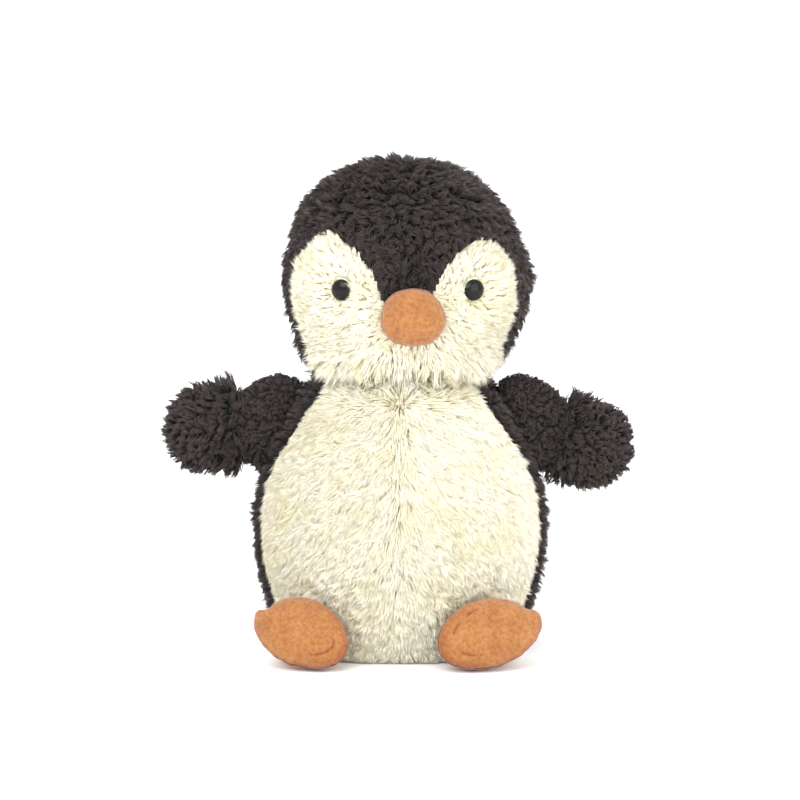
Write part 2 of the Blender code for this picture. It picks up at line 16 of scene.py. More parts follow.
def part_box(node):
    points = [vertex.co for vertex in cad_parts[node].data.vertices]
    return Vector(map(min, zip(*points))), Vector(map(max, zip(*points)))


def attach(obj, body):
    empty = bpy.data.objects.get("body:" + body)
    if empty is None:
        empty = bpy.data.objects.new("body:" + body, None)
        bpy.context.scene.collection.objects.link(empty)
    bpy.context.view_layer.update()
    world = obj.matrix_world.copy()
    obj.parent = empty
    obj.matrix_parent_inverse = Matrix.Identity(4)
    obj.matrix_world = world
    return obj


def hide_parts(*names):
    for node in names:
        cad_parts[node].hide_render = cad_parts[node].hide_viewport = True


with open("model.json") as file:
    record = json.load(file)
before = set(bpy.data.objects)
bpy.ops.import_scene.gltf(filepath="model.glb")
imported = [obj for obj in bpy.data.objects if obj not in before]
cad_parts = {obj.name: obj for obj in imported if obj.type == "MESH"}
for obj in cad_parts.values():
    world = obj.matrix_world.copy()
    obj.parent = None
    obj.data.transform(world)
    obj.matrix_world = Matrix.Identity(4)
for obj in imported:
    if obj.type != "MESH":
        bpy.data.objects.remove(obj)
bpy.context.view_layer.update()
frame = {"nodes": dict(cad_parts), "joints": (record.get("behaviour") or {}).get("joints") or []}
NODES = frame["nodes"]
SIDES = (("left", 1.0), ("right", -1.0))
MM = 0.001

# Places read from the frame
BELLY_NODES = ["belly_panel_left", "belly_panel_right"]
BACK_NODES = ["back_panel_left", "back_panel_right"]
TORSO_NODES = BELLY_NODES + BACK_NODES + ["base_panel"]
FACE_NODES = ["face_panel_left", "face_panel_right"]
HOOD_NODES = ["hood_panel_left", "hood_panel_right", "hood_gusset"]
HEAD_NODES = FACE_NODES + HOOD_NODES
HEAD_X = sum(c.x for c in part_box("head_stuffing")) / 2
NECK = sum(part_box("neck_stuffing"), Vector()) / 2
BEAK = sum(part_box("beak_front"), Vector()) / 2
CROWN = Vector((HEAD_X, 0.0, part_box("head_stuffing")[1].z))
EYES = {side: sum(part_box("eye_" + side), Vector()) / 2 for side, _ in SIDES}

# Cloth and stuffing
BACKING = 1.0 * MM         # thickness of a panel's cloth
FILLING_INSET = 1.6 * MM   # from a form's face in to its stuffing
FLOOR_GAP = 0.3 * MM       # everything ends this far above the floor
FAR = 1.0                  # further than any seam
PUFF_STEPS, PUFF_QUALITY, PUFF_MASS = 20, 4, 0.05     # the simulation that puffs a form

# Where pile grows
DENSITY = {"torso": 3.4, "head": 4.0, "neck": 4.5, "wing": 3.4, "wing_root": 3.2}   # strands per mm2
TORSO_OUTSIDE, HEAD_OUTSIDE = 33 * MM, 36.5 * MM      # none grows nearer the neck's axis, or its middle
NECK_SEAM, NECK_BAND = -18.0 * MM, 9 * MM             # y of its change to dark, and half its height
NECK_FRONT_LENGTH, NECK_BACK_LENGTH = 16.0 * MM, 12.0 * MM
BARE_BEAK, BARE_EYE = 0.84, 4.7 * MM                  # none grows under the beak and the eyes


# Meshes

def link(obj):
    bpy.context.scene.collection.objects.link(obj)
    return obj


def mesh_object(name, points, faces):
    mesh = bpy.data.meshes.new(name)
    mesh.from_pydata([tuple(p) for p in points], [], faces)
    mesh.polygons.foreach_set("use_smooth", [True] * len(mesh.polygons))
    mesh.update()
    return link(bpy.data.objects.new(name, mesh))


def coords(mesh):
    flat = np.empty(len(mesh.vertices) * 3, np.float32)
    mesh.vertices.foreach_get("co", flat)
    return flat.reshape(-1, 3).astype(float)


def normals_of(mesh):
    flat = np.empty(len(mesh.vertices) * 3, np.float32)
    mesh.vertex_normals.foreach_get("vector", flat)
    return flat.reshape(-1, 3).astype(float)


def put_coords(mesh, points):
    """Moves the vertices. Nothing goes below the floor, so what rests on it is flat there."""
    points = np.column_stack((points[:, :2], np.maximum(points[:, 2], FLOOR_GAP)))
    mesh.vertices.foreach_set("co", points.astype(np.float32).ravel())
    mesh.update()


def unit(v):
    return v / np.maximum(np.linalg.norm(v, axis=-1, keepdims=True), 1e-12)


def tangent(v, normals):
    return unit(v - normals * (v * normals).sum(1, keepdims=True))


def settle(obj):
    """Replaces the object's mesh with what its modifiers make of it."""
    graph = bpy.context.evaluated_depsgraph_get()
    made = bpy.data.meshes.new_from_object(obj.evaluated_get(graph), depsgraph=graph)
    obj.modifiers.clear()
    old = obj.data
    obj.data = made
    bpy.data.meshes.remove(old)


def cad_faces(nodes):
    """The points and faces of the CAD nodes together, and the number of each face's node."""
    points, faces, owner = [], [], []
    for number, node in enumerate(nodes):
        mesh = NODES[node].data
        base = len(points)
        points.extend(v.co.copy() for v in mesh.vertices)
        faces.extend([base + i for i in p.vertices] for p in mesh.polygons)
        owner.extend([number] * len(mesh.polygons))
    return points, faces, owner


def inflate(obj, pressure, cap):
    """Blows the closed mesh up a little, as its filling does. No point moves further than cap."""
    rest = coords(obj.data)
    cloth = obj.modifiers.new("Cloth", "CLOTH")
    cloth.settings.quality = PUFF_QUALITY
    cloth.settings.mass = PUFF_MASS
    cloth.settings.use_pressure = True
    cloth.settings.uniform_pressure_force = pressure
    cloth.settings.effector_weights.gravity = 0.0
    cloth.collision_settings.use_collision = False
    cloth.point_cache.frame_start, cloth.point_cache.frame_end = 1, PUFF_STEPS
    for step in range(1, PUFF_STEPS + 1):
        bpy.context.scene.frame_set(step)
    settle(obj)
    bpy.context.scene.frame_set(1)
    shift = coords(obj.data) - rest
    length = np.linalg.norm(shift, axis=1, keepdims=True)
    put_coords(obj.data, rest + shift * np.minimum(1.0, cap / np.maximum(length, 1e-9)))


def form(name, nodes, voxel, relax, pressure, cap, shrink, levels):
    """A smooth closed form round the CAD nodes, moved in by shrink and puffed by simulation."""
    points, faces, _ = cad_faces(nodes)
    obj = mesh_object(name, points, faces)
    remesh = obj.modifiers.new("Remesh", "REMESH")
    remesh.mode, remesh.voxel_size = "VOXEL", voxel
    smoother = obj.modifiers.new("Smooth", "SMOOTH")
    smoother.factor, smoother.iterations = 0.5, relax
    settle(obj)
    put_coords(obj.data, coords(obj.data) - normals_of(obj.data) * shrink)
    inflate(obj, pressure, cap)
    subdivide = obj.modifiers.new("Subdivision", "SUBSURF")
    subdivide.levels = subdivide.render_levels = levels
    settle(obj)
    put_coords(obj.data, coords(obj.data))
    obj.data.polygons.foreach_set("use_smooth", [True] * len(obj.data.polygons))
    return obj


def node_tree(nodes):
    """A search tree over the CAD nodes' faces, and the node that each face belongs to."""
    points, faces, owner = cad_faces(nodes)
    return BVHTree.FromPolygons(points, faces), owner


def nearest_node(nodes, places):
    """The number of the CAD node that is nearest to each place."""
    tree, owner = node_tree(nodes)
    return np.array([owner[tree.find_nearest(Vector(p))[2]] for p in places])


def away_from(nodes, places):
    """The way from the nearest point of the CAD nodes to each place, and how far it is."""
    tree, _ = node_tree(nodes)
    way = places - np.array([tree.find_nearest(Vector(p))[0] for p in places])
    return unit(way), np.linalg.norm(way, axis=1)


def shell(name, points, normals, faces, thickness):
    """A closed piece of cloth: the faces outside, and the same ones moved in."""
    used = sorted({v for face in faces for v in face})
    index = {v: i for i, v in enumerate(used)}
    count = len(used)
    outer = [[index[v] for v in face] for face in faces]
    inner = [[v + count for v in reversed(face)] for face in outer]
    directed = {(a, b) for face in outer for a, b in zip(face, face[1:] + face[:1])}
    rim = [[b, a, a + count, b + count] for a, b in sorted(directed) if (b, a) not in directed]
    places = np.vstack((points[used], points[used] - normals[used] * thickness))
    places[:, 2] = np.maximum(places[:, 2], FLOOR_GAP)
    return mesh_object(name, places, outer + inner + rim), np.array(used + used)


def seam_points(obj, labels):
    """The middles of the edges between faces of different panels."""
    first, found = {}, []
    mesh = obj.data
    for face, label in zip(mesh.polygons, labels):
        for key in face.edge_keys:
            if key in first and first[key] != label:
                found.append((mesh.vertices[key[0]].co + mesh.vertices[key[1]].co) / 2)
            first.setdefault(key, label)
    return found


def distance_to(points, places):
    """How far each point is from the nearest of the places."""
    if not places:
        return np.full(len(points), FAR)
    tree = KDTree(len(places))
    for number, place in enumerate(places):
        tree.insert(place, number)
    tree.balance()
    return np.array([tree.find(Vector(p))[2] for p in points])


def float_attribute(mesh, name, values):
    made = mesh.attributes.new(name, "FLOAT", "POINT")
    made.data.foreach_set("value", np.asarray(values, np.float32))


def panels(obj, nodes, body, slot_of, material_of, sink=None, reach=1.5 * MM,
           thickness=BACKING):
    """Cuts the form into one closed shell for each CAD panel, each in its panel's place.

    sink gives how far each point is drawn in, and how much painted shade it gets, from its place and
    its distance to the seams. reach is how far a seam's own painted shade goes.
    """
    middles = np.array([p.center for p in obj.data.polygons])
    labels = nearest_node(nodes, middles)
    seams = seam_points(obj, labels)
    points, normals = coords(obj.data), normals_of(obj.data)
    away = distance_to(points, seams)
    # The seam attribute holds painted shade: darkest in each seam's dip and, from sink, in a foot's
    # crease and along its inner rim.
    near = np.exp(-(away / reach) ** 2)
    if sink:
        depth, painted_shade = sink(points, away)
        points = points - normals * depth[:, None]
        near = np.maximum(near, painted_shade)
    for number, node in enumerate(nodes):
        faces = [list(p.vertices) for p, label in zip(obj.data.polygons, labels) if label == number]
        piece, used = shell(node + "_cloth", points, normals, faces, thickness)
        float_attribute(piece.data, "seam", near[used])
        piece.data.materials.append(material_of(node))
        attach(piece, body)
        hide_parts(node)
        slot_of(node)


def filling(name, obj, node, body, inset, material):
    """The stuffing: the form again, inside its panels."""
    made = link(bpy.data.objects.new(name, obj.data.copy()))
    made.data.materials.clear()
    put_coords(made.data, coords(made.data) - normals_of(made.data) * inset)
    made.data.materials.append(material)
    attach(made, body)
    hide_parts(node)


# Pile

STEPS = np.array([0.0, 0.36, 0.72, 1.0])      # rings along a strand, and its tip
TAPER = np.array([1.0, 0.92, 0.66])
RING = 3                                      # sides of a strand
ROOT_DEPTH = 0.4 * MM                         # how far below the cloth's face a strand starts
ROOT_LEAN, TIP_LEAN, MOST_LEAN = 0.55, 1.45, 1.02     # shares of a strand's lean, and the limit
OWN_TURN, OWN_LEAN, OWN_LENGTH, OWN_WIDTH = 0.22, 0.04, 0.08, 0.18    # how far a tuft's strands differ
UV_MARGIN = 0.1                               # round a strand's cell in the bake


def scatter(obj, per_mm2, rng):
    """Seeded points over the mesh, even by area, with their normals."""
    mesh = obj.data
    mesh.calc_loop_triangles()
    tris = np.empty(len(mesh.loop_triangles) * 3, np.int32)
    mesh.loop_triangles.foreach_get("vertices", tris)
    tris = tris.reshape(-1, 3)
    points, normals = coords(mesh), normals_of(mesh)
    a, b, c = (points[tris[:, k]] for k in range(3))
    area = np.linalg.norm(np.cross(b - a, c - a), axis=1) / 2
    count = int(area.sum() * per_mm2 / MM ** 2)
    spot = (np.arange(count) + rng.random(count)) / count
    chosen = np.minimum(np.searchsorted(np.cumsum(area) / area.sum(), spot), len(tris) - 1)
    u, v = rng.random(count), rng.random(count)
    over = u + v > 1
    u[over], v[over] = 1 - u[over], 1 - v[over]
    weights = np.stack((1 - u - v, u, v), 1)[:, :, None]
    return (points[tris[chosen]] * weights).sum(1), unit((normals[tris[chosen]] * weights).sum(1))


def tufts_of(roots, per_tuft, rng):
    """Which strand leads each strand's tuft."""
    leaders = np.sort(rng.choice(len(roots), max(1, int(len(roots) / per_tuft)), replace=False))
    tree = KDTree(len(leaders))
    for number, leader in enumerate(leaders):
        tree.insert(Vector(roots[leader]), number)
    tree.balance()
    return leaders, np.array([tree.find(Vector(p))[1] for p in roots])


def strand_mesh(name, rings, sides, lifts, width, attributes):
    """One mesh of three-sided strands. rings holds each strand's four points."""
    count = len(rings)
    angles = 2 * np.pi * np.arange(RING) / RING
    around = (sides[:, :, None] * np.cos(angles)[None, None, :, None]
              + lifts[:, :, None] * np.sin(angles)[None, None, :, None])
    body = rings[:, :3, None] + around * (width[:, None] * TAPER)[:, :, None, None] / 2
    points = np.concatenate((body.reshape(count, -1, 3), rings[:, 3:4]), 1)
    points[..., 2] = np.maximum(points[..., 2], FLOOR_GAP)
    per = points.shape[1]

    faces, spots = [], []
    for ring in range(2):
        for k in range(RING):
            after = (k + 1) % RING
            lower, upper = ring * RING, (ring + 1) * RING
            faces.append([lower + k, lower + after, upper + after, upper + k])
            low, high = STEPS[ring], STEPS[ring + 1]
            spots.append([(k, low), (k + 1, low), (k + 1, high), (k, high)])
    for k in range(RING):
        faces.append([2 * RING + k, 2 * RING + (k + 1) % RING, per - 1])
        spots.append([(k, STEPS[2]), (k + 1, STEPS[2]), (k + 0.5, STEPS[3])])
    faces.append([2, 1, 0])
    spots.append([(0, 0.0), (1, 0.0), (0.5, 0.05)])

    loops = np.array([i for face in faces for i in face])
    starts = np.cumsum([0] + [len(face) for face in faces[:-1]])
    mesh = bpy.data.meshes.new(name)
    mesh.vertices.add(count * per)
    mesh.loops.add(count * len(loops))
    mesh.polygons.add(count * len(faces))
    mesh.vertices.foreach_set("co", points.astype(np.float32).ravel())
    offset = np.arange(count)[:, None]
    mesh.polygons.foreach_set("loop_start", (offset * len(loops) + starts).ravel().astype(np.int32))
    mesh.loops.foreach_set("vertex_index", (offset * per + loops).ravel().astype(np.int32))
    mesh.polygons.foreach_set("use_smooth", np.ones(count * len(faces), bool))

    columns = math.ceil(math.sqrt(count))
    cell = np.stack((np.arange(count) % columns, np.arange(count) // columns), 1)
    inside = np.array([spot for face in spots for spot in face]) / (RING, 1.0)
    inside = inside * (1 - 2 * UV_MARGIN) + UV_MARGIN
    layer = mesh.uv_layers.new(name="OFBake")
    layer.data.foreach_set("uv", ((cell[:, None] + inside) / columns).astype(np.float32).ravel())

    along = np.append(np.repeat(STEPS[:3], RING), 1.0)
    float_attribute(mesh, "along", np.tile(along, count))
    for label, values in attributes.items():
        float_attribute(mesh, label, np.repeat(values, per))
    mesh.update(calc_edges=True)
    return link(bpy.data.objects.new(name, mesh))


def grow(name, roots, normals, flow, length, upright, style, seed):
    """Strands on the roots. flow is the way they lie, and length is each one's length.

    upright takes from the lean, all over or root by root.
    """
    rng = np.random.default_rng(seed)
    count = len(roots)
    leaders, tuft = tufts_of(roots, style["per_tuft"], rng)

    def per_tuft(sigma):
        return rng.normal(0.0, sigma, len(leaders))[tuft]

    turn = per_tuft(style["wander"]) + rng.normal(0.0, style["wander"] * OWN_TURN, count)
    across = np.cross(normals, flow)
    flow = flow * np.cos(turn)[:, None] + across * np.sin(turn)[:, None]
    across = np.cross(normals, flow)
    lean = style["lean"] * (1 - upright) + per_tuft(style["lift"]) + rng.normal(0.0, OWN_LEAN, count)
    lean = np.clip(lean, 0.05, 0.95)
    start = lean * ROOT_LEAN * np.pi / 2
    end = np.minimum(lean * TIP_LEAN, MOST_LEAN) * np.pi / 2
    longer = per_tuft(style["lift"]) + rng.normal(0.0, OWN_LENGTH, count)
    length = length * np.clip(1 + longer, 0.5, 1.4)
    first = normals * np.cos(start)[:, None] + flow * np.sin(start)[:, None]
    last = normals * np.cos(end)[:, None] + flow * np.sin(end)[:, None]

    t = STEPS[None, :, None]
    curve = (t - t * t / 2) * first[:, None] + t * t / 2 * last[:, None]
    path = roots[:, None] + length[:, None, None] * curve
    pull = (path[leaders[tuft], 3] - path[:, 3])[:, None] * style["gather"] * t ** 1.6
    wave = np.sin(2 * np.pi * (t * style["waves"] + rng.random(len(leaders))[tuft][:, None, None]))
    path = path + pull + across[:, None] * wave * t * style["curl"]
    path[:, 0] -= normals * ROOT_DEPTH

    along = unit(np.gradient(path, axis=1))[:, :3]
    sides = unit(np.cross(along, normals[:, None] + 0.01 * across[:, None]))
    lifts = np.cross(along, sides)
    width = style["width"] * np.clip(1 + rng.normal(0.0, OWN_WIDTH, count), 0.5, 1.6)
    looks = {"tuft": rng.random(len(leaders))[tuft], "own": rng.random(count)}
    return strand_mesh(name, path, sides, lifts, width, looks)


CREAM = {"per_tuft": 8, "wander": 0.40, "lean": 0.76, "lift": 0.06, "gather": 0.38, "waves": 0.6,
         "curl": 0.7 * MM, "width": 0.40 * MM}
DARK = {"per_tuft": 9, "wander": 0.85, "lean": 0.50, "lift": 0.11, "gather": 0.66, "waves": 0.8,
        "curl": 0.9 * MM, "width": 0.50 * MM}
CREAM_LENGTH, DARK_LENGTH = 12.0 * MM, 7.6 * MM
MOST_STRANDS = 12000       # in one piece; a denser panel's pile is made of several


# Materials

def linear(code):
    """A colour's linear values from its web code."""
    parts = [int(code[k:k + 2], 16) / 255 for k in (0, 2, 4)]
    return tuple(c / 12.92 if c <= 0.04045 else ((c + 0.055) / 1.055) ** 2.4 for c in parts) + (1.0,)


class Paint:
    """A small helper that wires one node material."""

    def __init__(self, name, roughness, sheen=0.0, specular=0.5):
        self.material = bpy.data.materials.new(name)
        self.material.use_nodes = True
        self.tree = self.material.node_tree
        self.shader = self.tree.nodes["Principled BSDF"]
        self.shader.inputs["Roughness"].default_value = roughness
        self.shader.inputs["Sheen Weight"].default_value = sheen
        self.shader.inputs["Specular IOR Level"].default_value = specular

    def node(self, kind, **settings):
        made = self.tree.nodes.new(kind)
        for key, value in settings.items():
            setattr(made, key, value)
        return made

    def wire(self, source, target):
        self.tree.links.new(source, target)

    def attribute(self, name):
        return self.node("ShaderNodeAttribute", attribute_name=name).outputs["Fac"]

    def grain(self, scale, detail=3.0):
        place = self.node("ShaderNodeTexCoord").outputs["Object"]
        made = self.node("ShaderNodeTexNoise")
        made.inputs["Scale"].default_value = scale
        made.inputs["Detail"].default_value = detail
        self.wire(place, made.inputs["Vector"])
        return made.outputs["Fac"]

    def ramp(self, factor, stops):
        made = self.node("ShaderNodeValToRGB")
        elements = made.color_ramp.elements
        while len(elements) < len(stops):
            elements.new(0.5)
        for element, (place, code) in zip(elements, stops):
            element.position, element.color = place, linear(code)
        self.wire(factor, made.inputs["Fac"])
        return made.outputs["Color"]

    def mix(self, factor, a, b, blend="MIX"):
        made = self.node("ShaderNodeMix", data_type="RGBA", blend_type=blend)
        if isinstance(factor, float):
            made.inputs["Factor"].default_value = factor
        else:
            self.wire(factor, made.inputs["Factor"])
        self.wire(a, made.inputs["A"])
        self.wire(b, made.inputs["B"])
        return made.outputs["Result"]

    def bump(self, height, distance):
        made = self.node("ShaderNodeBump")
        made.inputs["Distance"].default_value = distance
        made.inputs["Strength"].default_value = 1.0
        self.wire(height, made.inputs["Height"])
        self.wire(made.outputs["Normal"], self.shader.inputs["Normal"])

    def done(self, colour):
        self.wire(colour, self.shader.inputs["Base Color"])
        return self.material


def pile_material(name, shaded_root_to_tip, tints, patches, roughness, sheen, specular):
    """Strands darker at the root with painted shade, lighter at the tip, and differing by tuft, strand
    and place.
    """
    paint = Paint(name, roughness, sheen=sheen, specular=specular)
    # Painted shade: the ramp along each strand darkens it towards the root, as shade deep in the pile.
    base = paint.ramp(paint.attribute("along"), shaded_root_to_tip)
    colour = paint.mix(0.75, base, paint.ramp(paint.attribute("tuft"), tints), "MULTIPLY")
    colour = paint.mix(0.6, colour, paint.ramp(paint.attribute("own"), tints), "MULTIPLY")
    colour = paint.mix(0.8, colour, paint.ramp(paint.grain(60.0), patches), "MULTIPLY")
    return paint.done(colour)


def cloth_material(name, dark, light, scale, roughness, sheen=0.2):
    """A woven or felted backing."""
    paint = Paint(name, roughness, sheen=sheen, specular=0.2)
    grain = paint.grain(scale, 4.0)
    paint.bump(grain, 0.3 * MM)
    return paint.done(paint.ramp(grain, [(0.3, dark), (0.7, light)]))


def suede_material():
    """Short orange pile, brushed both ways, with painted shade that makes it redder and darker in its
    seams.
    """
    paint = Paint("orange_suede_look", 0.92, sheen=0.35, specular=0.15)
    mottle = paint.ramp(paint.grain(110.0, 4.0), [(0.34, "97663c"), (0.5, "9d6c3f"), (0.66, "a37245")])
    nap = paint.ramp(paint.grain(620.0, 8.0), [(0.32, "dcbca6"), (0.62, "ffffff")])
    colour = paint.mix(0.8, mottle, nap, "MULTIPLY")
    # Painted shade from the seam attribute: redder and darker in the seams and a foot's crease, with a
    # painted shadow along the foot's inner rim.
    seam = paint.ramp(paint.attribute("seam"), [(0.1, "ffffff"), (0.95, "cc8f70")])
    colour = paint.mix(0.9, colour, seam, "MULTIPLY")
    paint.bump(paint.grain(1100.0, 6.0), 0.4 * MM)
    return paint.done(colour)


def eye_material():
    """Glossy black plastic with a faint swirl in it."""
    paint = Paint("eye_plastic_look", 0.10, specular=0.24)
    return paint.done(paint.ramp(paint.grain(220.0, 2.0), [(0.3, "030303"), (0.8, "12110a")]))


LOOKS = {
    # Each pile's first ramp is painted shade: deep at the root, light at the tip.
    "cream_pile": pile_material(
        "cream_pile_look", [(0.0, "f0ebc6"), (0.35, "f7f3df"), (1.0, "faf7ed")],
        [(0.0, "f9f6ea"), (0.5, "ffffff"), (1.0, "fffefa")],
        [(0.30, "faf8ea"), (0.55, "ffffff")], 0.9, 0.0, 0.12),
    "dark_pile": pile_material(
        "dark_pile_look", [(0.0, "1b1717"), (0.5, "342d2c"), (1.0, "4b4240")],
        [(0.0, "cfc7cc"), (0.5, "ffffff"), (1.0, "fff3e4")],
        [(0.30, "cdc6d0"), (0.52, "ffffff"), (0.75, "f6ebd0")], 0.7, 0.1, 0.3),
    "cream_cloth": cloth_material("cream_backing_look", "f0ecd4", "f8f5e6", 900.0, 0.9),
    "dark_cloth": cloth_material("dark_backing_look", "171312", "2c2524", 900.0, 0.9),
    "suede": suede_material(),
    "eye": eye_material(),
    "stuffing": cloth_material("stuffing_look", "d9d9d4", "f4f4f0", 300.0, 1.0),
    "label": cloth_material("label_cloth_look", "e2e1db", "f6f5f0", 2500.0, 0.7),
    "thread": cloth_material("thread_look", "cfc9ae", "e6e1c9", 3000.0, 0.8),
    "pouch": cloth_material("pouch_cloth_look", "c2bba6", "ded8c6", 1500.0, 0.9),
    "pellets": cloth_material("pellets_look", "a7b0b8", "ccd3d9", 500.0, 0.5, 0.0),
    "washer": cloth_material("washer_plastic_look", "cfcfca", "e6e6e1", 200.0, 0.4, 0.0),
}


def is_cream(node):
    return node.startswith(("belly", "face"))


def pile_slot(node):
    return "cream_pile" if is_cream(node) else "dark_pile"


def backing(node):
    return LOOKS["cream_cloth" if is_cream(node) else "dark_cloth"]


def plant(name, body, slot, roots, normals, flow, length, upright, style, seed):
    """Grows a panel's pile, in as many pieces as it takes, each of them over the whole panel."""
    shares = math.ceil(len(roots) / MOST_STRANDS)
    upright = np.broadcast_to(upright, len(roots))
    for share in range(shares):
        part = slice(share, None, shares)
        full_name = name if shares == 1 else f"{name}_{share + 1}"
        made = grow(full_name, roots[part], normals[part], flow[part], length[part], upright[part],
                    style, seed * 10 + share)
        made.data.materials.append(LOOKS[slot])
        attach(made, body)


def smoothstep(x, low, high):
    t = np.clip((x - low) / (high - low), 0, 1)
    return t * t * (3 - 2 * t)


# Torso

def belly_flow(points, normals):
    """Parts softly at the centre seam, turns downwards lower down, and up over the neck's crease."""
    _, edge = away_from(BACK_NODES, points)
    side = np.tanh(points[:, 0] / (9 * MM)) * (0.5 + 0.5 * smoothstep(edge, 2 * MM, 16 * MM))
    down = 0.45 + 0.8 * (1 - np.clip(points[:, 2] / NECK.z, 0, 1))
    down -= 1.2 * smoothstep(points[:, 2], NECK.z - 13 * MM, NECK.z - 6 * MM)
    return tangent(np.stack((side * 0.75, np.zeros(len(points)), -down), 1), normals)


def back_flow(points, normals):
    """Downwards, and a little away from the middle."""
    way = np.stack((points[:, 0] * 6, np.zeros(len(points)), -np.ones(len(points))), 1)
    return tangent(way, normals)


def torso_pile(node, place, normal):
    """The way, the length and the uprightness of a torso panel's pile."""
    height = place[:, 2]
    low = 0.55 + 0.45 * smoothstep(height, 2 * MM, 24 * MM)
    top = smoothstep(height, NECK.z - 22 * MM, NECK.z - 8 * MM)
    if is_cream(node):
        _, edge = away_from(BACK_NODES, place)
        length = CREAM_LENGTH * low * (0.45 + 0.55 * smoothstep(edge, 0.0, 13 * MM))
        splay = 0.6 * (1 - smoothstep(height, 3 * MM, 14 * MM))
        return belly_flow(place, normal), length, np.maximum(0.3 * top, splay)
    _, gap = away_from(BELLY_NODES, place)
    beside = np.exp(-(gap / (9 * MM)) ** 2)
    return back_flow(place, normal), DARK_LENGTH * low, 0.6 * beside + 0.3 * top


def make_torso():
    body = form("torso_form", TORSO_NODES + ["torso_stuffing", "bean_pouch", "bean_pellets"],
                voxel=3.0 * MM, relax=8, pressure=3.0, cap=1.5 * MM, shrink=0.4 * MM, levels=1)
    panels(body, TORSO_NODES, "torso", pile_slot, backing)
    filling("torso_filling", body, "torso_stuffing", "torso", FILLING_INSET,
            LOOKS["stuffing"])
    roots, normals = scatter(body, DENSITY["torso"], np.random.default_rng(11))
    owner = nearest_node(TORSO_NODES, roots)
    outward = np.hypot(roots[:, 0], roots[:, 1]) > TORSO_OUTSIDE
    for number, node in enumerate(BELLY_NODES + BACK_NODES):
        chosen = (owner == number) & outward & (normals[:, 2] > -0.85)
        if not is_cream(node):
            chosen[::2] = False
        place, normal = roots[chosen], normals[chosen]
        plant(node.replace("panel", "pile"), "torso", pile_slot(node), place, normal,
              *torso_pile(node, place, normal), CREAM if is_cream(node) else DARK, 20 + number)
    bpy.data.objects.remove(body)


# Head

def hood_flow(points, normals):
    """Down from the crown, and away from the face's edge where it is near."""
    way, gap = away_from(FACE_NODES, points)
    flow = unit(points - np.array(CROWN)) + way * (1.6 * np.exp(-(gap / (6 * MM)) ** 2))[:, None]
    return tangent(flow, normals)


def face_flow(points, normals):
    """Outwards from the beak, and round each eye."""
    flow = unit(points - np.array(BEAK))
    for eye in EYES.values():
        away = points - np.array(eye)
        near = np.exp(-(np.linalg.norm(away, axis=1) / (9 * MM)) ** 2)
        flow = flow + unit(away) * near[:, None] * 2.2
    return tangent(flow, normals)


def make_head():
    body = form("head_form", HEAD_NODES + ["head_stuffing"],
                voxel=3.0 * MM, relax=8, pressure=3.0, cap=1.5 * MM, shrink=0.4 * MM, levels=1)
    panels(body, HEAD_NODES, "head", pile_slot, backing)
    filling("head_filling", body, "head_stuffing", "head", FILLING_INSET, LOOKS["stuffing"])
    roots, normals = scatter(body, DENSITY["head"], np.random.default_rng(12))
    owner = nearest_node(HEAD_NODES, roots)
    outward = np.linalg.norm(roots - np.array(NECK), axis=1) > HEAD_OUTSIDE
    beak_low, beak_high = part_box("beak_front")
    half_x, half_z = (beak_high.x - beak_low.x) / 2, (beak_high.z - beak_low.z) / 2
    beak_share = np.hypot((roots[:, 0] - BEAK.x) / half_x, (roots[:, 2] - BEAK.z) / half_z)
    front = roots[:, 1] < 0
    under_beak = (beak_share < BARE_BEAK) & front
    eye_away = np.min([np.linalg.norm(roots - np.array(e), axis=1) for e in EYES.values()], axis=0)
    allowed = outward & ~under_beak & (eye_away > BARE_EYE)
    near_eye = 0.30 + 0.70 * smoothstep(eye_away, BARE_EYE, 11 * MM)
    near_beak = np.where(front, 0.45 + 0.55 * smoothstep(beak_share, BARE_BEAK, 1.7), 1.0)
    for number, node in enumerate(HEAD_NODES):
        cream = is_cream(node)
        chosen = (owner == number) & allowed
        if not cream:
            chosen[::2] = False
        place, normal = roots[chosen], normals[chosen]
        _, edge = away_from(HOOD_NODES if cream else FACE_NODES, place)
        # The face's pile is short along the hood and long again at the chin
        short = 0.40 if cream else 0.70
        chin = 1 - smoothstep(place[:, 2], NECK.z + 8 * MM, NECK.z + 22 * MM)
        trim = np.maximum(short + (1 - short) * smoothstep(edge, 0.0, 11 * MM), chin * 0.9)
        length = (CREAM_LENGTH if cream else DARK_LENGTH) * trim * (1 + 0.3 * chin)
        length = length * near_eye[chosen] * near_beak[chosen]
        flow = (face_flow if cream else hood_flow)(place, normal)
        flow = tangent(flow + np.array((0.0, 0.0, -1.0)) * (chin * 1.2)[:, None], normal)
        name = node.replace("panel", "pile") if "panel" in node else node + "_pile"
        plant(name, "head", pile_slot(node), place, normal, flow, length, 0.45 * chin,
              CREAM if cream else DARK, 40 + number)
    bpy.data.objects.remove(body)


def make_neck():
    """The soft neck: its stuffing, and short pile that fills the crease between head and torso."""
    body = form("neck_form", ["neck_stuffing"],
                voxel=3.0 * MM, relax=4, pressure=3.0, cap=0.5 * MM, shrink=0.4 * MM, levels=1)
    filling("neck_filling", body, "neck_stuffing", "neck", 0.0, LOOKS["stuffing"])
    roots, normals = scatter(body, DENSITY["neck"], np.random.default_rng(13))
    band = np.abs(roots[:, 2] - NECK.z) < NECK_BAND
    front = roots[:, 1] < NECK_SEAM
    for name, slot, half, style, reach in (
            ("neck_pile_front", "cream_pile", front, CREAM, NECK_FRONT_LENGTH),
            ("neck_pile_back", "dark_pile", ~front, DARK, NECK_BACK_LENGTH)):
        chosen = half & band
        place, normal = roots[chosen], normals[chosen]
        flow = tangent(np.tile((0.0, 0.0, -1.0), (len(place), 1)), normal)
        plant(name, "neck", slot, place, normal, flow, np.full(len(place), reach), 0.8, style, 60)
    bpy.data.objects.remove(body)


# Beak and feet

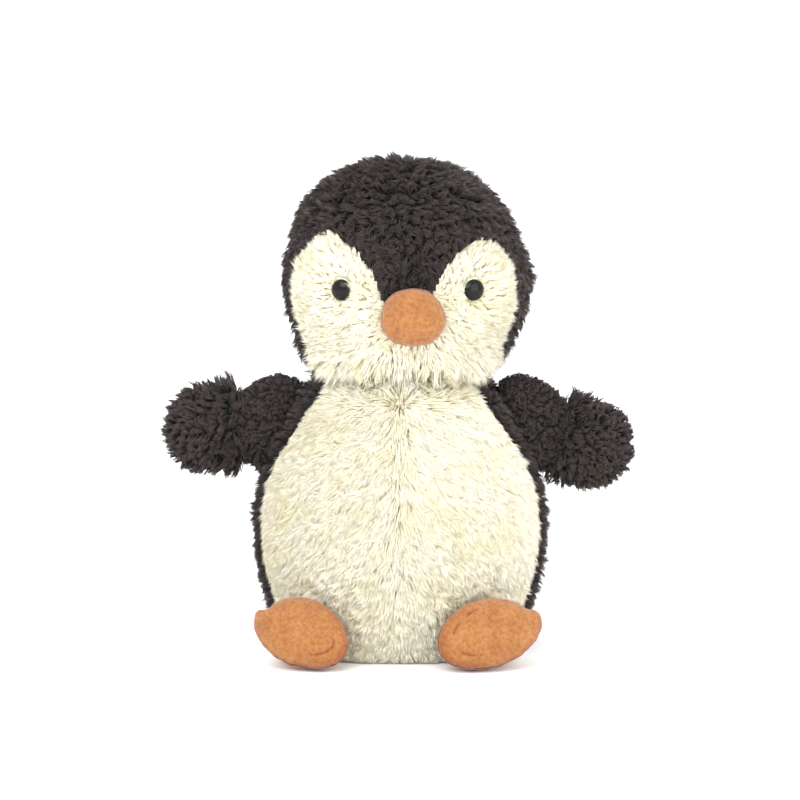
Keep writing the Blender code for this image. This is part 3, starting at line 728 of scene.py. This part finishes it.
SEAM_DEPTH, SEAM_WIDTH = 0.7 * MM, 0.9 * MM
CREASE_AWAY, CREASE_DEPTH, CREASE_WIDTH = 7.5 * MM, 0.9 * MM, 0.6 * MM    # a foot's, away from its seam
HEEL_HALF = 13 * MM                # half the length of the roll at a foot's heel
HEEL_BITE = 1.0 * MM               # how far it goes into the belly's cloth
HEEL_RINGS, HEEL_SEGMENTS = 16, 40
HEEL_BLUNT = 0.6                   # under 1 makes its ends blunter


def roughen(obj, amount, scale, seed):
    """Soft wrinkles and crush marks, as moves of the mesh along its normals."""
    points, normals = coords(obj.data), normals_of(obj.data)
    shift = Vector((seed * 3.1, seed * 1.7, seed * 0.9))
    height = np.array([noise.fractal(Vector(p) * scale + shift, 0.8, 2.2, 4) for p in points])
    put_coords(obj.data, points + normals * (height * amount)[:, None])


def make_pad(name, nodes, stuffing, body, voxel, seed):
    """A plump suede pad: the beak or a foot."""
    pad = form(name + "_form", nodes + [stuffing],
               voxel=voxel, relax=3, pressure=4.0, cap=1.8 * MM, shrink=0.4 * MM, levels=2)
    roughen(pad, 0.16 * MM, 420.0, seed)
    roughen(pad, 0.30 * MM, 150.0, seed + 1)
    roughen(pad, 0.35 * MM, 60.0, seed + 2)

    inner, outer = sorted(abs(corner.x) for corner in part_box(stuffing))
    middle = inner + 0.45 * (outer - inner)

    def sink(points, away):
        """A sewn seam, and on a foot a broken crease inside its inner edge. The second value is painted
        shade in the crease and a painted shadow along the inner edge.
        """
        sewn = SEAM_DEPTH * np.exp(-(away / SEAM_WIDTH) ** 2)
        if "foot" not in name:
            return sewn, np.zeros(len(points))
        line = np.exp(-((away - CREASE_AWAY) / CREASE_WIDTH) ** 2)
        broken = smoothstep(np.array([noise.noise(Vector(p) * 110.0) for p in points]), -0.2, 0.1)
        within = smoothstep(middle - np.abs(points[:, 0]), -2 * MM, 6 * MM)
        crease = line * broken * within
        # Painted shadow along the foot's inner edge, where the belly overhangs it.
        rim = np.exp(-(away / (5 * MM)) ** 2) * within
        return sewn + CREASE_DEPTH * crease, np.maximum(0.7 * crease, 0.6 * rim)

    panels(pad, nodes, body, lambda node: "orange_suede", lambda node: LOOKS["suede"],
           sink=sink, reach=2.2 * MM, thickness=0.8 * MM)
    filling(name + "_filling", pad, stuffing, body, FILLING_INSET, LOOKS["stuffing"])
    bpy.data.objects.remove(pad)


def make_heel(side):
    """The foot's cloth drawn in to its heel seam: a soft roll on the axis that the foot folds about."""
    foot = "foot_" + side
    joint = next(joint for joint in frame["joints"] if joint["child"] == foot)
    place, along = np.array(joint["pos_m"]), -unit(np.array(joint["axis"]))
    up = np.array((0.0, 0.0, 1.0))
    back = np.cross(up, along)
    radius = place[2] - 2 * FLOOR_GAP
    belly = coords(NODES["belly_panel_" + side].data)
    reach = np.linalg.norm(belly - place, axis=1).min() + HEEL_BITE
    places, faces = [place - along * HEEL_HALF], []
    for k in range(1, HEEL_RINGS):
        turn = math.pi * k / HEEL_RINGS
        middle = place - along * HEEL_HALF * math.cos(turn)
        size = math.sin(turn) ** HEEL_BLUNT
        for n in range(HEEL_SEGMENTS):
            angle = 2 * math.pi * n / HEEL_SEGMENTS
            x, z = math.cos(angle), math.sin(angle)
            places.append(middle + size * (back * x * (reach if x > 0 else radius) + up * z * radius))
    places.append(place + along * HEEL_HALF)
    last = 1 + (HEEL_RINGS - 2) * HEEL_SEGMENTS
    for n in range(HEEL_SEGMENTS):
        after = (n + 1) % HEEL_SEGMENTS
        faces.append([0, 1 + after, 1 + n])
        faces.extend([row + n, row + after, row + HEEL_SEGMENTS + after, row + HEEL_SEGMENTS + n]
                     for row in range(1, last, HEEL_SEGMENTS))
        faces.append([last + n, last + after, len(places) - 1])
    roll = mesh_object("foot_heel_fold_" + side, places, faces)
    roughen(roll, 0.35 * MM, 150.0, 8)
    roll.data.materials.append(LOOKS["suede"])
    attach(roll, foot)


# Wings

def make_wing(side, sign):
    """A wing's paddle, and the flat root that it turns on."""
    outer = sum(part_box("wing_stuffing_" + side), Vector()) / 2
    root = sum(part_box("wing_root_" + side), Vector()) / 2
    axis = unit(np.array(outer - root))
    for name, nodes, stuffing in (
            ("wing", [f"wing_front_panel_{side}", f"wing_back_panel_{side}"], [f"wing_stuffing_{side}"]),
            ("wing_root", [f"wing_root_{side}"], [])):
        body = f"{name}_{side}"
        pad = form(f"{name}_form_{side}", nodes + stuffing,
                   voxel=2.4 * MM, relax=5, pressure=3.0, cap=1.2 * MM, shrink=0.3 * MM, levels=1)
        panels(pad, nodes, body, pile_slot, backing)
        for node in stuffing:
            filling(f"wing_filling_{side}", pad, node, body, FILLING_INSET,
                    LOOKS["stuffing"])
        roots, normals = scatter(pad, DENSITY[name], np.random.default_rng(14 + (sign > 0)))
        owner = nearest_node(nodes, roots)
        for number, node in enumerate(nodes):
            chosen = owner == number
            place, normal = roots[chosen], normals[chosen]
            radial = place - np.array(outer)
            flow = tangent(axis + unit(radial) * 0.6, normal)
            pile = node.replace("_panel", "_pile") if "panel" in node else f"wing_root_pile_{side}"
            if stuffing:
                out = (place - np.array(root)) @ axis
                share = 0.86 + 0.5 * (1 - smoothstep(out, 14 * MM, 28 * MM))
            else:
                share = 0.86 * (0.72 - 0.3 * smoothstep(place[:, 2] - root.z, 6 * MM, 18 * MM))
            plant(pile, body, "dark_pile", place, normal, flow, DARK_LENGTH * share, 0.0, DARK,
                  70 + number)
        bpy.data.objects.remove(pad)


# Eyes, label and small parts

EYE_ROWS, EYE_SEGMENTS = 14, 48
EYE_LIP = 0.4 * MM                 # the flat edge below the dome
LABEL_CLOTH, LABEL_TUCK, LABEL_WAVE = 0.22 * MM, 0.15 * MM, 0.5 * MM
LABEL_ACROSS, LABEL_BEND, LABEL_RUN = 14, 8, 10       # steps across it, round its fold and along a side


def make_eye(side):
    """A smooth glossy dome on its shank, on the washer's axis."""
    washer = coords(NODES["eye_washer_" + side].data)
    middle = np.array(sum(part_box("eye_washer_" + side), Vector()) / 2)
    axis = np.linalg.eigh(np.cov((washer - middle).T))[1][:, 0]
    axis = axis * (1 if axis[1] < 0 else -1)
    points = coords(NODES["eye_" + side].data) - middle
    heights = points @ axis
    radii = np.linalg.norm(points - heights[:, None] * axis, axis=1)
    low, high, radius = heights.min(), heights.max(), radii.max()
    shank = radii[radii > 1e-5].min()
    rim = heights[radii > radius * 0.98].min()
    turned = [(0.0, low), (shank, low), (shank, rim - EYE_LIP), (radius * 0.9, rim - EYE_LIP)]
    turned += [(radius * math.cos(a), rim + (high - rim) * math.sin(a))
               for a in (0.5 * math.pi * k / EYE_ROWS for k in range(EYE_ROWS))] + [(0.0, high)]
    u = unit(np.cross(axis, (0.0, 0.0, 1.0)))
    v = np.cross(axis, u)
    spin = [2 * math.pi * k / EYE_SEGMENTS for k in range(EYE_SEGMENTS)]
    places, rows = [middle + axis * turned[0][1]], []
    for r, h in turned[1:-1]:
        rows.append(range(len(places), len(places) + EYE_SEGMENTS))
        places.extend(middle + axis * h + (u * math.cos(a) + v * math.sin(a)) * r for a in spin)
    places.append(middle + axis * turned[-1][1])
    faces = []
    for k in range(EYE_SEGMENTS):
        n = (k + 1) % EYE_SEGMENTS
        faces.append([0, rows[0][k], rows[0][n]])
        faces.extend([lower[n], lower[k], upper[k], upper[n]] for lower, upper in zip(rows, rows[1:]))
        faces.append([rows[-1][n], rows[-1][k], len(places) - 1])
    eye = mesh_object("eye_dome_" + side, places, faces)
    eye.data.materials.append(LOOKS["eye"])
    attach(eye, "head")
    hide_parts("eye_" + side)


def make_label():
    """A blank ribbon, folded in two, its ends in the back seam."""
    low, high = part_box("care_label")
    width, reach = high.z - low.z, high.y - low.y
    half_gap = (high.x - low.x) / 2 - LABEL_TUCK
    run = [(-half_gap, k / LABEL_RUN) for k in range(LABEL_RUN)]
    run += [(-half_gap * math.cos(a), 1 + 0.04 * math.sin(a))
            for a in (math.pi * k / LABEL_BEND for k in range(LABEL_BEND + 1))]
    run += [(half_gap, 1 - k / LABEL_RUN) for k in range(1, LABEL_RUN + 1)]
    places, faces = [], []
    for x, share in run:
        for k in range(LABEL_ACROSS + 1):
            z = low.z + width * k / LABEL_ACROSS
            wave = LABEL_WAVE * math.sin(2.4 * k / LABEL_ACROSS + 1.0) * share
            places.append(((low.x + high.x) / 2 + x + wave, low.y + reach * share * 0.96, z))
    for i in range(len(run) - 1):
        for k in range(LABEL_ACROSS):
            a = i * (LABEL_ACROSS + 1) + k
            faces.append([a, a + 1, a + LABEL_ACROSS + 2, a + LABEL_ACROSS + 1])
    label = mesh_object("care_label_ribbon", places, faces)
    thicken = label.modifiers.new("Solidify", "SOLIDIFY")
    thicken.thickness, thicken.offset = LABEL_CLOTH, 0.0
    settle(label)
    label.data.materials.clear()
    label.data.materials.append(LOOKS["label"])
    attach(label, "torso")
    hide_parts("care_label")


def paint_small_parts():
    """The hidden hard and loose parts keep their CAD shape, with their own finishes."""
    for node, look in (("neck_gather", "thread"), ("bean_pouch", "pouch"), ("bean_pellets", "pellets"),
                       ("eye_washer_left", "washer"), ("eye_washer_right", "washer")):
        mesh = NODES[node].data
        mesh.materials.clear()
        mesh.materials.append(LOOKS[look])


# Studio

WORLD_STRENGTH = 1.45
LIGHTS = (("key", (-0.55, -1.3, 1.2), 1.3, 20.0), ("fill", (0.9, -1.1, 0.4), 1.3, 11.0))
SWEEP_FRONT, SWEEP_TOP, SWEEP_HALF = -1.6, 3.0, 3.0


def make_studio():
    """A pale sweep, a broad soft key, a fill, and an even white surround."""
    depth, rise, steps = 1.2, 0.9, 16
    line = [(SWEEP_FRONT, 0.0)] + [(depth + rise * math.sin(a), rise * (1 - math.cos(a)))
                            for a in (0.5 * math.pi * k / steps for k in range(steps + 1))]
    line.append((depth + rise, SWEEP_TOP))
    places = [(x, y, z) for y, z in line for x in (-SWEEP_HALF, SWEEP_HALF)]
    faces = [[2 * k, 2 * k + 1, 2 * k + 3, 2 * k + 2] for k in range(len(line) - 1)]
    floor = mesh_object("studio_floor", places, faces)
    look = cloth_material("studio_floor_look", "fcfcfc", "fefefe", 30.0, 0.9, 0.0)
    floor.data.materials.append(look)

    world = bpy.context.scene.world or bpy.data.worlds.new("studio_world")
    bpy.context.scene.world = world
    world.use_nodes = True
    background = world.node_tree.nodes["Background"]
    background.inputs["Color"].default_value = (1.0, 1.0, 1.0, 1.0)
    background.inputs["Strength"].default_value = WORLD_STRENGTH
    middle = Vector((0.0, 0.0, 0.11))
    for name, place, size, power in LIGHTS:
        light = bpy.data.lights.new(name, "AREA")
        light.size, light.energy = size, power
        lamp = link(bpy.data.objects.new(name, light))
        lamp.location = place
        lamp.rotation_euler = (middle - Vector(place)).to_track_quat("-Z", "Y").to_euler()


def make_camera():
    """A long lens, a little above the horizon, straight in front."""
    distance, across, elevation = 2.6, 0.372, math.radians(8)
    target = Vector((0.0, 0.0, 0.1161))
    camera = bpy.data.cameras.new("camera")
    camera.lens = camera.sensor_width * distance / across
    obj = link(bpy.data.objects.new("camera", camera))
    obj.location = target + Vector((0.0, -math.cos(elevation), math.sin(elevation))) * distance
    obj.rotation_euler = (target - obj.location).to_track_quat("-Z", "Y").to_euler()
    bpy.context.scene.camera = obj
    bpy.context.scene.view_settings.view_transform = "Standard"


make_camera()
make_studio()
make_torso()
make_neck()
make_head()
make_pad("beak", ["beak_front", "beak_band"], "beak_stuffing", "head", 1.5 * MM, 5)
for wing_side, wing_sign in SIDES:
    make_wing(wing_side, wing_sign)
    make_pad("foot_" + wing_side, [f"foot_upper_panel_{wing_side}", f"foot_sole_panel_{wing_side}"],
             "foot_stuffing_" + wing_side, "foot_" + wing_side, 1.7 * MM, 2 + wing_sign)
    make_heel(wing_side)
    make_eye(wing_side)
make_label()
paint_small_parts()
